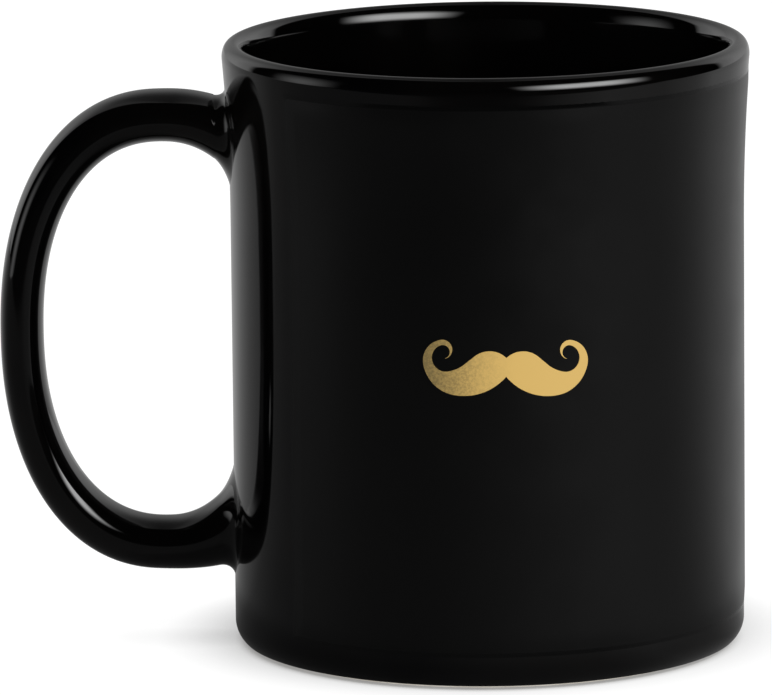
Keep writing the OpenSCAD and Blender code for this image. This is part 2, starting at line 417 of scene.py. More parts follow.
@dataclass(frozen=True)
class GlossGlaze(Finish):
    """Deep black gloss glaze: nearly mirror smooth, with slow waves, rare pinholes and thinner patches."""

    name: str = "black_gloss_glaze"
    wave_size: float = 14.0
    grain_size: float = 2.5
    grain_share: float = 0.12
    speck_spacing: float = 9.0
    speck_size: float = 0.09
    bump: float = 0.02
    pit_depth: float = 0.5
    colour: Colour = (0.0006, 0.0006, 0.0007, 1.0)
    thin_colour: Colour = (0.0015, 0.0013, 0.0012, 1.0)
    thin_span: Pair = (0.35, 0.7)
    roughness: Pair = (0.03, 0.07)

    def material(self) -> bpy.types.Material:
        """Builds the material: a colour and roughness that follow the patches, and pinholes in the bump.

        Returns:
            The material.
        """
        material, nodes, shader, surface = self.start()
        height, specks, patches = surface.outputs
        thin = nodes.remap(patches, self.thin_span)
        nodes.fill(shader, {
            "Base Color": nodes.mix(thin, self.colour, self.thin_colour),
            "Roughness": nodes.remap(patches, self.PATCH_SPAN, self.roughness),
        })
        self.roughen(nodes, shader, nodes.math("MULTIPLY_ADD", specks, -self.pit_depth, height))
        return material


@dataclass(frozen=True)
class SatinPrint(Finish):
    """Black transfer ink on the wall: satin, with a smooth line along its edges that reads as a dark one.

    The line ends over edge_span, in millimetres from the edge.
    """

    name: str = "black_satin_print"
    wave_size: float = 5.0
    grain_size: float = 0.6
    grain_share: float = 0.4
    speck_spacing: float = 6.0
    speck_size: float = 0.08
    bump: float = 0.004
    colour: Colour = (0.0019, 0.0019, 0.0019, 1.0)
    edge_colour: Colour = (0.0017, 0.0017, 0.0017, 1.0)
    roughness: Pair = (0.3, 0.34)
    edge_roughness: float = 0.08
    edge_span: Pair = (0.77, 1.21)
    specular: float = 0.3
    sheen: float = 0.1
    sheen_roughness: float = 0.3

    def material(self) -> bpy.types.Material:
        """Builds the material: the edge's look and the inner look, mixed by the distance to the edge.

        Returns:
            The material.
        """
        material, nodes, shader, surface = self.start()
        height, _, patches = surface.outputs
        inside = nodes.remap(nodes.attribute(PrintedWrap.EDGE), self.edge_span)
        satin = nodes.remap(patches, self.PATCH_SPAN, self.roughness)
        rougher = nodes.math("SUBTRACT", satin, self.edge_roughness)
        nodes.fill(shader, {
            "Base Color": nodes.mix(inside, self.edge_colour, self.colour),
            "Roughness": nodes.math("MULTIPLY_ADD", rougher, inside, self.edge_roughness),
            "Specular IOR Level": self.specular,
            "Sheen Weight": self.sheen,
            "Sheen Roughness": self.sheen_roughness,
        })
        self.roughen(nodes, shader, height)
        return material


@dataclass(frozen=True)
class GoldFoil(Finish):
    """Gold transfer: plain on its right half, mottled and duller like old leaf towards its left end.

    The wear runs over worn_span, in half widths of the figure from its middle.
    """

    name: str = "gold_transfer"
    wave_size: float = 0.4
    grain_size: float = 0.16
    grain_share: float = 0.8
    speck_spacing: float = 0.9
    speck_size: float = 0.09
    bump: float = 0.004
    colour: Colour = (0.74, 0.48, 0.128, 1.0)
    worn_colour: Colour = (0.2, 0.138, 0.036, 1.0)
    fleck_colour: Colour = (0.3, 0.2, 0.05, 1.0)
    worn_span: Pair = (-1.1, 0.14)
    mottle_span: Pair = (0.65, 1.15)
    mottle: float = 0.9
    end_mottle: float = 0.16
    fleck_share: float = 2.5
    roughness: Pair = (0.45, 0.6)
    metallic: float = 0.1

    def material(self) -> bpy.types.Material:
        """Builds the material: two golds mixed by the wear, which the surface's height breaks up.

        The mottling is deepest where the gold is half worn, and so are the flecks.

        Returns:
            The material.
        """
        material, nodes, shader, surface = self.start()
        height, specks, _ = surface.outputs
        worn = nodes.remap(nodes.attribute(Moustache.ALONG), self.worn_span, (1.0, 0.0))
        part_worn = nodes.math("MULTIPLY", worn, nodes.math("SUBTRACT", 1.0, worn))
        at_end = nodes.math("MULTIPLY", worn, self.end_mottle)
        depth = nodes.math("MULTIPLY_ADD", part_worn, self.mottle, at_end)
        mottle = nodes.remap(height, self.mottle_span, (-0.5, 0.5))
        share = nodes.math("MULTIPLY_ADD", mottle, depth, worn)
        flecks = nodes.math("MULTIPLY", specks, nodes.math("MULTIPLY", part_worn, self.fleck_share))
        gold = nodes.mix(share, self.colour, self.worn_colour)
        nodes.fill(shader, {
            "Base Color": nodes.mix(flecks, gold, self.fleck_colour),
            "Roughness": nodes.remap(share, (0.0, 1.0), self.roughness),
            "Metallic": self.metallic,
        })
        self.roughen(nodes, shader, height)
        return material


@dataclass(frozen=True)
class BareClay(Finish):
    """Unglazed stoneware: matt, sandy and flecked with iron."""

    name: str = "bare_stoneware"
    wave_size: float = 3.0
    grain_size: float = 0.3
    grain_share: float = 0.5
    speck_spacing: float = 2.2
    speck_size: float = 0.16
    bump: float = 0.06
    colour: Colour = (0.72, 0.68, 0.61, 1.0)
    shade_colour: Colour = (0.58, 0.53, 0.46, 1.0)
    fleck_colour: Colour = (0.16, 0.11, 0.08, 1.0)
    roughness: float = 0.85

    def material(self) -> bpy.types.Material:
        """Builds the material: two tones mixed by the patches, under iron flecks.

        Returns:
            The material.
        """
        material, nodes, shader, surface = self.start()
        height, specks, patches = surface.outputs
        tone = nodes.mix(nodes.remap(patches, self.PATCH_SPAN), self.colour, self.shade_colour)
        nodes.fill(shader, {
            "Base Color": nodes.mix(specks, tone, self.fleck_colour),
            "Roughness": self.roughness,
        })
        self.roughen(nodes, shader, height)
        return material


# The object


@dataclass
class Vessel:
    """The mug's body: a straight wall with a round heel, a hollow neck and a rolled rim, coated in glaze."""

    mug_height: float = 96.0
    wall_d: float = 80.8
    wall_clay: float = 2.7
    floor_clay: float = 5.5
    bowl_round: float = 10.0
    rim_flare: float = 1.08
    neck_height: float = 26.0
    mouth_height: float = 25.0
    rim_round: float = 1.2
    lip_round: float = 3.1
    brim_round: float = 5.2
    lip_angle: float = 22.0
    heel_round: float = 3.5
    foot_ring_w: float = 3.2
    well_depth: float = 1.6
    bare_height: float = 1.0
    cove_bare_angle: float = 35.0
    glaze: float = 0.4
    under_glaze: float = 0.02
    columns: int = 288
    heel_rows: int = 24
    wall_rows: int = 40
    neck_rows: int = 32
    lip_rows: int = 32
    top_rows: int = 40
    brim_rows: int = 24
    mouth_rows: int = 24
    bowl_wall_rows: int = 30
    bowl_rows: int = 32
    floor_rows: int = 12
    cove_rows: int = 16
    well_rows: int = 10
    edge_rows: int = 5

    def __post_init__(self) -> None:
        """Works out the centres and radii of the arcs that the wall's section is made of."""
        self.clay_r = self.wall_d / 2 - self.glaze
        self.bowl_r = self.clay_r - self.wall_clay
        lip_angle = math.radians(self.lip_angle)
        lean = np.array([math.cos(lip_angle), math.sin(lip_angle)])
        top_z = self.mug_height - self.glaze - self.rim_round
        self.lip_c = np.array([self.clay_r + self.rim_flare - self.lip_round,
                               top_z - (self.lip_round - self.rim_round) * lean[1]])
        self.top_c = self.lip_c + (self.lip_round - self.rim_round) * lean
        self.brim_c = self.top_c + (self.brim_round - self.rim_round) * lean * (1, -1)
        self.neck_z = self.lip_c[1] - self.neck_height
        self.neck_r = (self.neck_height ** 2 + self.rim_flare ** 2) / (2 * self.rim_flare) - self.lip_round
        self.neck_c = (self.clay_r + self.neck_r, self.neck_z)
        self.neck_turn = math.degrees(math.atan2(self.neck_height, self.lip_c[0] - self.neck_c[0]))
        opening = self.brim_c[0] - self.brim_round - self.bowl_r
        self.mouth_r = (self.mouth_height ** 2 + opening ** 2) / (2 * opening) + self.brim_round
        self.mouth_c = (self.bowl_r + self.mouth_r, self.brim_c[1] - self.mouth_height)
        self.mouth_turn = math.degrees(math.atan2(self.mouth_height, self.brim_c[0] - self.mouth_c[0]))
        self.floor_z = self.well_depth + self.floor_clay
        self.bowl_c = (self.bowl_r - self.bowl_round, self.floor_z + self.bowl_round)
        self.heel_c = (self.clay_r - self.heel_round, self.heel_round)
        self.bare_angle = math.degrees(math.asin(1 - self.bare_height / self.heel_round))
        self.cove_c = (self.heel_c[0] - self.foot_ring_w - self.well_depth, 0.0)

    @property
    def around(self) -> Points:
        """Angles of the columns all the way round, in radians."""
        return np.linspace(0, 2 * np.pi, self.columns, endpoint=False)

    def clay_wall(self, height: Points) -> Points:
        """Radius of the clay wall at heights under the lip: straight, then out along the neck's arc."""
        up = np.maximum(0, height - self.neck_z)
        return self.neck_c[0] - np.sqrt(self.neck_r ** 2 - up ** 2)

    def outside_path(self, grow: float) -> Points:
        """Section of the outside: heel arc, straight wall, neck arc, lip arc and outer half of the rim's top.

        Args:
            grow: Distance off the clay.

        Returns:
            Radius and height of each point, in millimetres, from the heel up.
        """
        wall = self.clay_r + grow
        return np.vstack([
            arc(self.heel_c, self.heel_round + grow, -self.bare_angle, 0, self.heel_rows),
            eased_line((wall, self.heel_round), (wall, self.neck_z), self.wall_rows),
            arc(self.neck_c, self.neck_r - grow, 180, self.neck_turn, self.neck_rows),
            arc(self.lip_c, self.lip_round + grow, self.neck_turn - 180, self.lip_angle, self.lip_rows)[1:],
            arc(self.top_c, self.rim_round + grow, self.lip_angle, 90, self.top_rows)[1:],
        ])

    def inside_path(self, grow: float) -> Points:
        """Section of the inside: inner half of the rim's top, brim arc, mouth arc, wall, bowl arc and floor.

        Args:
            grow: Distance off the clay.

        Returns:
            Radius and height of each point, in millimetres, from the rim down to the middle of the floor.
        """
        wall, floor = self.bowl_r - grow, self.floor_z + grow
        brim_angle = 180 - self.lip_angle
        return np.vstack([
            arc(self.top_c, self.rim_round + grow, 90, brim_angle, self.top_rows),
            arc(self.brim_c, self.brim_round + grow, brim_angle, self.mouth_turn, self.brim_rows)[1:],
            arc(self.mouth_c, self.mouth_r + grow, self.mouth_turn, 180, self.mouth_rows)[1:],
            eased_line((wall, self.mouth_c[1]), (wall, self.bowl_c[1]), self.bowl_wall_rows),
            arc(self.bowl_c, self.bowl_round - grow, 0, -90, self.bowl_rows),
            eased_line((self.bowl_c[0], floor), (0.0, floor), self.floor_rows),
            [[0.0, floor]],
        ])

    def underside_path(self, sink: float) -> Points:
        """Section of the well under the floor: part of the cove's arc, then flat to the middle.

        Args:
            sink: Distance off the clay, downwards.

        Returns:
            Radius and height of each point, in millimetres, from the cove to the middle.
        """
        top = self.well_depth - sink
        return np.vstack([
            arc(self.cove_c, top, self.cove_bare_angle, 90, self.cove_rows),
            eased_line((self.cove_c[0], top), (0.0, top), self.well_rows),
            [[0.0, top]],
        ])

    def round_edge(self, outer: Points, inner: Points) -> Points:
        """Half a round edge that closes a coat from its outer to its inner path, bulging past both.

        The points run along half a circle on the line between the two ends.

        Args:
            outer: Last point of the outer path.
            inner: First point of the inner path.

        Returns:
            Radius and height of each point between them.
        """
        middle, arm = (outer + inner) / 2, (outer - inner) / 2
        turn = np.linspace(0, np.pi, self.edge_rows + 2)[1:-1, None]
        side = np.array([arm[1], -arm[0]])
        return middle + arm * np.cos(turn) + side * np.sin(turn)

    def coat(self, node: str, path: Callable[[float], Points], rounded: bool) -> bpy.types.Object:
        """Makes one glaze coat: its surface and its clay side, turned about Z as one closed section.

        Args:
            node: CAD node that it stands for, which also names it.
            path: Function that gives the section at a distance off the clay.
            rounded: True where the coat has a round bare edge at its section's start.

        Returns:
            The new object.
        """
        loop = np.vstack([path(self.glaze), path(self.under_glaze)[::-1]])
        if rounded:
            loop = np.vstack([loop, self.round_edge(loop[-1], loop[0])])
        return Skin(f"{node}_coat", revolve(loop, self.around) * MM, Joins.BOTH).piece(Slot.GLAZE, (node,))

    def build(self) -> list[bpy.types.Object]:
        """Makes the three glaze coats of the vessel.

        Returns:
            The new objects.
        """
        return [
            self.coat("outside_glaze", self.outside_path, True),
            self.coat("inside_glaze", self.inside_path, False),
            self.coat("underside_glaze", self.underside_path, False),
        ]


@dataclass
class Handle:
    """The loop handle's glaze: an oval loop of oval section that flares out onto the wall at both roots."""

    vessel: Vessel
    handle_reach: float = 36.6
    loop_offset: float = 10.8
    handle_drop: float = 7.6
    handle_lift: float = 11.7
    grip_t: float = 6.8
    arm_t: float = 8.1
    grip_w: float = 12.0
    root_w: float = 13.0
    upper_swell: float = 0.9
    lower_swell: float = 2.0
    slip_round: float = 2.8
    loop_fullness: float = 2.2
    section_fullness: float = 2.4
    saddle_share: float = 0.2
    edge_dip: float = 0.06
    dip_power: int = 12
    sides: int = 96
    fillet_rings: int = 20
    loop_rings: int = 220

    def __post_init__(self) -> None:
        """Works out the loop's middle and the half axes of its outer and inner edges, in the clay."""
        vessel = self.vessel
        top = vessel.mug_height - self.handle_drop
        self.wall_x = -vessel.clay_r
        self.loop_x = -(vessel.wall_d / 2 + self.loop_offset)
        self.loop_z = (top + self.handle_lift) / 2
        self.outer_a = self.handle_reach - self.loop_offset - vessel.glaze
        self.outer_b = (top - self.handle_lift) / 2 - vessel.glaze
        self.inner_a = self.outer_a - self.grip_t + 2 * vessel.glaze
        self.inner_b = self.outer_b - self.arm_t + 2 * vessel.glaze
        self.root_half_w = self.root_w / 2 - vessel.glaze
        self.grip_half_w = self.grip_w / 2 - vessel.glaze
        root_rise = (self.rise(self.outer_a, self.outer_b, self.wall_x)
                     + self.rise(self.inner_a, self.inner_b, self.wall_x)) / 2
        self.root_wall = {root: float(vessel.clay_wall(self.loop_z + root.value * root_rise))
                          for root in Root}

    def rise(self, a: float, b: float, x: Points) -> Points:
        """Height of an oval edge: b times the root n of 1 - (x / a) ^ n, where n is the loop's fullness."""
        return b * (1 - (np.abs(x - self.loop_x) / a) ** self.loop_fullness) ** (1 / self.loop_fullness)

    def swell(self, x: Points, root: Root) -> Points:
        """Extra half thickness near a root: the square of the way from the loop's top to the wall."""
        most = self.upper_swell if root is Root.UPPER else self.lower_swell
        return most * np.maximum(0, (x - self.loop_x) / (self.wall_x - self.loop_x)) ** 2

    def section(self) -> tuple[Points, Points]:
        """Across and sideways shares of the oval section at evenly turned angles.

        The radius at an angle is (|cos| ^ fullness + |sin| ^ fullness) ^ (-1 / fullness).

        Returns:
            The share of the half thickness and the share of the half width at each side point.
        """
        turn = np.linspace(0, 2 * np.pi, self.sides, endpoint=False)
        power = self.section_fullness
        radius = (np.abs(np.cos(turn)) ** power + np.abs(np.sin(turn)) ** power) ** (-1 / power)
        return radius * np.cos(turn), radius * np.sin(turn)

    def root_rings(self, root: Root, coat: float, dip: float) -> Points:
        """Rings of one root's fillet, from the wall to the plain handle.

        With tight = slip_round - coat, the section at a turn of the fillet stands off the wall by
        slip_round - tight * sin(turn), is grown by slip_round - tight * cos(turn), and bends round the wall's
        curve. Its last part dips under the wall's glaze.

        Args:
            root: Which root.
            coat: Thickness over the clay.
            dip: How far the edge goes under the wall's glaze.

        Returns:
            An array of rings by sides by 3, in millimetres.
        """
        turn = np.radians(np.linspace(90, 0, self.fillet_rings, endpoint=False))[:, None]
        across, side = self.section()
        tight = self.slip_round - coat
        grow = self.slip_round - tight * np.cos(turn)
        distance = self.slip_round - tight * np.sin(turn) - dip * np.sin(turn) ** self.dip_power
        x = -self.root_wall[root] - self.slip_round * (1 - np.sin(turn))
        outer, inner = self.rise(self.outer_a, self.outer_b, x), self.rise(self.inner_a, self.inner_b, x)
        half = (outer - inner) / 2 + self.swell(x, root) + grow
        y = (self.root_half_w + grow) * side
        z = self.loop_z + root.value * ((outer + inner) / 2 + half * across)
        return np.stack([-np.sqrt((self.vessel.clay_wall(z) + distance) ** 2 - y ** 2), y, z], axis=-1)

    def root_angle(self, a: float, root: Root) -> float:
        """Angle between the wall's side of the loop and an edge of half axis a at a root, in radians."""
        x = -self.root_wall[root] - self.slip_round
        return math.acos(((x - self.loop_x) / a) ** (self.loop_fullness / 2))

    def edge(self, a: float, b: float, angle: Points) -> Points:
        """Points [x, z] of an oval edge: half axes times cosine and sine, each to the power 2 / fullness.

        Args:
            a: Half axis along X.
            b: Half axis along Z.
            angle: Angles from the wall's side of the loop, in radians.

        Returns:
            An array of angles by 2.
        """
        power = 2 / self.loop_fullness
        drawn = [np.sign(v) * np.abs(v) ** power for v in (np.cos(angle), np.sin(angle))]
        return np.stack([self.loop_x + a * drawn[0], self.loop_z + b * drawn[1]], axis=-1)

    def loop(self, coat: float) -> Points:
        """Rings of the loop between its roots, each set across the line from the outer to the inner edge.

        Near the roots the rings bend to the wall's curve by a share that eases out with a smooth step.

        Args:
            coat: Thickness over the clay.

        Returns:
            An array of rings by sides by 3, in millimetres.
        """
        share = np.linspace(0, 1, self.loop_rings)
        outer, inner = (self.edge(a, b, self.root_angle(a, Root.UPPER) * (1 - share)
                                  + (2 * np.pi - self.root_angle(a, Root.LOWER)) * share)
                        for a, b in ((self.outer_a, self.outer_b), (self.inner_a, self.inner_b)))
        middle, gap = (outer + inner) / 2, np.linalg.norm(outer - inner, axis=1, keepdims=True)
        out = (outer - inner) / gap
        swells = [self.swell(middle[:, 0], root) for root in Root]
        swell = np.where(share < 0.5, *swells)
        half = gap[:, 0] / 2 + swell + coat
        half_w = self.root_half_w + (self.grip_half_w - self.root_half_w) * np.sin(np.pi * share) + coat
        ease = np.maximum(0, 1 - np.minimum(share, 1 - share) / self.saddle_share)
        saddle = (ease * ease * (3 - 2 * ease))[:, None]
        across, side = self.section()
        y = half_w[:, None] * side
        place = middle[:, None] + out[:, None] * (half[:, None] * across)[..., None]
        reach = self.vessel.clay_r + self.slip_round
        bent = place[..., 0] + saddle * (reach - np.sqrt(reach ** 2 - y ** 2))
        return np.stack([bent, y, place[..., 1]], axis=-1)

    def skin(self, coat: float, dip: float) -> Points:
        """All rings of one side of the glaze, from the upper root round the loop to the lower root.

        Args:
            coat: Thickness over the clay.
            dip: How far the edges go under the wall's glaze.

        Returns:
            An array of rings by sides by 3, in millimetres.
        """
        return np.concatenate([self.root_rings(Root.UPPER, coat, dip), self.loop(coat),
                               self.root_rings(Root.LOWER, coat, dip)[::-1]])

    def build(self) -> list[bpy.types.Object]:
        """Makes the handle's glaze as a closed shell.

        Returns:
            The new object, in a list.
        """
        vessel = self.vessel
        surface, clay_side = self.skin(vessel.glaze, self.edge_dip), self.skin(vessel.under_glaze, 0.0)
        rings = np.concatenate([surface, clay_side[::-1]])
        return [Skin("handle_glaze_coat", rings * MM, Joins.BOTH).piece(Slot.GLAZE, ("handle_glaze",))]


@dataclass
class PrintedWrap:
    """The printed wrap: a thin film bent round the wall, open at the handle, that follows the neck."""

    EDGE = "edge_mm"

    vessel: Vessel
    wrap_bond: float = 0.05
    wrap_film: float = 0.1
    wrap_w: float = 197.5
    wrap_foot_gap: float = 1.6
    wrap_drop: float = 3.8
    edge_taper: float = 3.0
    sink: float = 0.02
    columns: int = 300
    rows: int = 60

    @staticmethod
    def eased(low: float, high: float, count: int) -> Points:
        """Values from low to high, crowded towards both ends by a double cosine easing.

        Args:
            low: First value.
            high: Last value.
            count: Number of values.

        Returns:
            The values.
        """
        share = (1 - np.cos(np.linspace(0, np.pi, count))) / 2
        share = (1 - np.cos(np.pi * share)) / 2
        return low + (high - low) * share

    def build(self) -> list[bpy.types.Object]:
        """Makes the film: an outer face that tapers down to the wall at its edges, and a face on the wall.

        The film's height over the wall is its full thickness times d / edge_taper, up to 1, where d is the
        distance to the nearest edge.

        Returns:
            The new object, in a list.
        """
        vessel = self.vessel
        half = self.wrap_w / 2
        along = self.eased(-half, half, self.columns)
        foot, top = vessel.heel_round + self.wrap_foot_gap, vessel.mug_height - self.wrap_drop
        height = self.eased(foot, top, self.rows)
        to_side = half - np.abs(along)[None, :]
        to_end = np.minimum(height - height[0], height[-1] - height)[:, None]
        edge = np.minimum(to_side, to_end)
        share = np.minimum(edge / self.edge_taper, 1)
        film = (self.wrap_bond + self.wrap_film) * share - self.sink * (1 - share)
        wall = vessel.clay_wall(height)[:, None] + vessel.glaze
        angles = np.pi / 2 + along[None, :] / (vessel.wall_d / 2)
        outer, inner = (turned(radius, angles, height[:, None]) for radius in (wall + film, wall - self.sink))
        loop = np.concatenate([outer, inner[::-1]])
        values = {self.EDGE: np.concatenate([edge, edge[::-1]])}
        return [Skin("printed_wrap_film", loop * MM, Joins.ROWS, values).piece(Slot.PRINT, ("printed_wrap",))]


@dataclass
class Moustache:
    """The gold moustache: a curled, tapering figure drawn with arcs and laid on the printed wrap."""

    ALONG = "along"

    wrap: PrintedWrap
    moustache_w: float = 25.8
    moustache_z: float = 51.2
    moustache_turn: float = 4.0
    moustache_tilt: float = -1.3
    gold_film: float = 0.1
    sink: float = 0.02
    upper_notch: float = 1.0
    upper_heading: float = 44.0
    upper_bends: Bends = ((2.52, -84), (1.34, 0), (3.86, 30), (1.45, 169), (0.73, 181))
    lower_notch: float = -1.0
    lower_heading: float = -50.0
    lower_bends: Bends = ((6.0, 60), (3.93, 69), (2.31, 91), (1.03, 173))
    stations: int = 260
    sides: int = 40

    @staticmethod
    def bent_path(start: Pair, heading: float, bends: Bends, count: int) -> Points:
        """Points evenly spaced along a run of arcs, each a radius and a turn, or a length and no turn.

        On an arc, the place after a turn t is the start plus the radius times
        (sin(h + t) - sin(h), cos(h) - cos(h + t)), where h is the heading at its start.

        Args:
            start: First point.
            heading: First heading, in degrees.
            bends: Radius and turn in degrees of each arc, or length and zero of each straight.
            count: Number of points.

        Returns:
            An array of count by 2.
        """
        size, turn = np.array(bends, dtype=float).T
        turn = np.radians(turn)
        straight = turn == 0
        length = np.where(straight, size, size * np.abs(turn))
        begins = np.concatenate([[0.0], np.cumsum(length)])
        heads = math.radians(heading) + np.concatenate([[0.0], np.cumsum(turn)])
        way = np.linspace(0, begins[-1], count)
        leg = np.clip(np.searchsorted(begins, way, side="right") - 1, 0, len(bends) - 1)

        def moved(k: Points, done: Points) -> Points:
            """Steps made on some legs after a part of their length.

            Args:
                k: Numbers of the legs.
                done: Length gone along each.

            Returns:
                An array of legs by 2.
            """
            radius = np.where(straight[k], 1.0, np.sign(turn[k]) * size[k])
            head = heads[k]
            after = head + done / radius
            curve = np.stack([np.sin(after) - np.sin(head), np.cos(head) - np.cos(after)], -1)
            line = np.stack([np.cos(head), np.sin(head)], -1)
            return np.where(straight[k][:, None], line * done[:, None], curve * radius[:, None])

        legs = np.arange(len(bends))
        corners = np.array(start) + np.concatenate([[[0.0, 0.0]], np.cumsum(moved(legs, length), axis=0)])
        return corners[leg] + moved(leg, way - begins[leg])

    def edges(self) -> tuple[Points, Points]:
        """Upper and lower edges from the left tip to the right tip, in millimetres along and up the wall.

        Returns:
            Two arrays of twice stations, less one, by 2.
        """
        halves = [self.bent_path((0.0, notch), heading, bends, self.stations) for notch, heading, bends in
                  ((self.upper_notch, self.upper_heading, self.upper_bends),
                   (self.lower_notch, self.lower_heading, self.lower_bends))]
        widest = max(float(half[:, 0].max()) for half in halves)
        scale = self.moustache_w / 2 / widest
        upper, lower = (np.concatenate([half[:0:-1] * (-1, 1), half]) * scale for half in halves)
        return upper, lower

    def build(self) -> list[bpy.types.Object]:
        """Makes the gold as a closed film of even thickness, ruled between its edges and laid on the wrap.

        Across the figure, the way from the upper to the lower edge is half of one minus the cosine of an
        angle from 0 to 180 degrees, on the film's face and back again on the wrap. The flat figure is seen
        straight from the front, as the print's transfer is.

        Returns:
            The new object, in a list.
        """
        vessel = self.wrap.vessel
        print_r = vessel.wall_d / 2 + self.wrap.wrap_bond + self.wrap.wrap_film
        upper, lower = self.edges()
        across = (1 - np.cos(np.linspace(0, np.pi, self.sides // 2))) / 2
        share = np.concatenate([across, across[::-1]])
        height = np.repeat([self.gold_film, -self.sink], self.sides // 2)
        flat = upper[:, None] * (1 - share)[None, :, None] + lower[:, None] * share[None, :, None]
        tips = [np.repeat(flat[k].mean(axis=0)[None, None], self.sides, axis=1) for k in (0, -1)]
        flat = np.concatenate([tips[0], flat, tips[1]])
        along = flat[..., 0] / (self.moustache_w / 2)
        seen = print_r * np.sin(flat[..., 0] / print_r)
        tilt, round_wall = math.radians(self.moustache_tilt), math.radians(self.moustache_turn)
        x = seen * math.cos(tilt) - flat[..., 1] * math.sin(tilt)
        z = seen * math.sin(tilt) + flat[..., 1] * math.cos(tilt) + self.moustache_z
        radius = np.broadcast_to(print_r + height, x.shape).copy()
        radius[[0, -1]] = print_r
        angle = np.arcsin(x / print_r) + round_wall
        grid = turned(radius, angle, z)
        skin = Skin("gold_moustache_film", grid * MM, Joins.COLUMNS, {self.ALONG: along})
        return [skin.piece(Slot.GOLD, ("gold_moustache",))]


# The set


def towards(azimuth: float, elevation: float) -> Vector:
    """Direction from the mug at an angle from -Y towards +X and an angle up, both in degrees."""
    turn, up = math.radians(azimuth), math.radians(elevation)
    return Vector((math.sin(turn) * math.cos(up), -math.cos(turn) * math.cos(up), math.sin(up)))


@dataclass
class Box:
    """A soft box: a lit panel that faces the mug and fades towards its edges, with its sizes in degrees."""

    name: str
    azimuth: float
    elevation: float
    wide: float
    tall: float
    glow: float
    fade: float = 0.6
    distance: float = 1.2

    def light(self, aim: Vector) -> bpy.types.Object:
        """Makes the lamp, with the power that gives the middle of its panel the wanted glow.

        A panel of area A and power P glows with P / (pi A), in the units where 1 is white. It shows in
        gloss only, because the surround lights the rest.

        Args:
            aim: Point that it faces.

        Returns:
            The lamp's object.
        """
        away = towards(self.azimuth, self.elevation)
        lamp = bpy.data.lights.new(self.name, "AREA")
        lamp.shape = "RECTANGLE"
        lamp.size = 2 * self.distance * math.tan(math.radians(self.wide / 2))
        lamp.size_y = 2 * self.distance * math.tan(math.radians(self.tall / 2))
        lamp.energy = math.pi * self.glow * lamp.size * lamp.size_y
        self.fade_edges(lamp)
        piece = placed(self.name, lamp)
        facing = away.to_track_quat("Z", "Y").to_matrix().to_4x4()
        piece.matrix_world = Matrix.Translation(aim + away * self.distance) @ facing
        piece.visible_diffuse = False
        return piece

    def fade_edges(self, lamp: bpy.types.AreaLight) -> None:
        """Dims the panel towards its edges, by its own coordinates.

        Args:
            lamp: The panel's light.
        """
        nodes = Nodes.cleared(lamp)
        spot = nodes.add("ShaderNodeNewGeometry").outputs["Parametric"]
        axes = nodes.add("ShaderNodeSeparateXYZ", {0: spot}).outputs
        off = [nodes.math("ABSOLUTE", nodes.math("SUBTRACT", axes[k], 0.5)) for k in (0, 1)]
        level = [nodes.remap(value, (0.5 * (1 - self.fade), 0.5), (1.0, 0.0)) for value in off]
        glow = nodes.add("ShaderNodeEmission", {"Strength": nodes.math("MULTIPLY", *level)}).outputs[0]
        nodes.add("ShaderNodeOutputLight", {"Surface": glow})


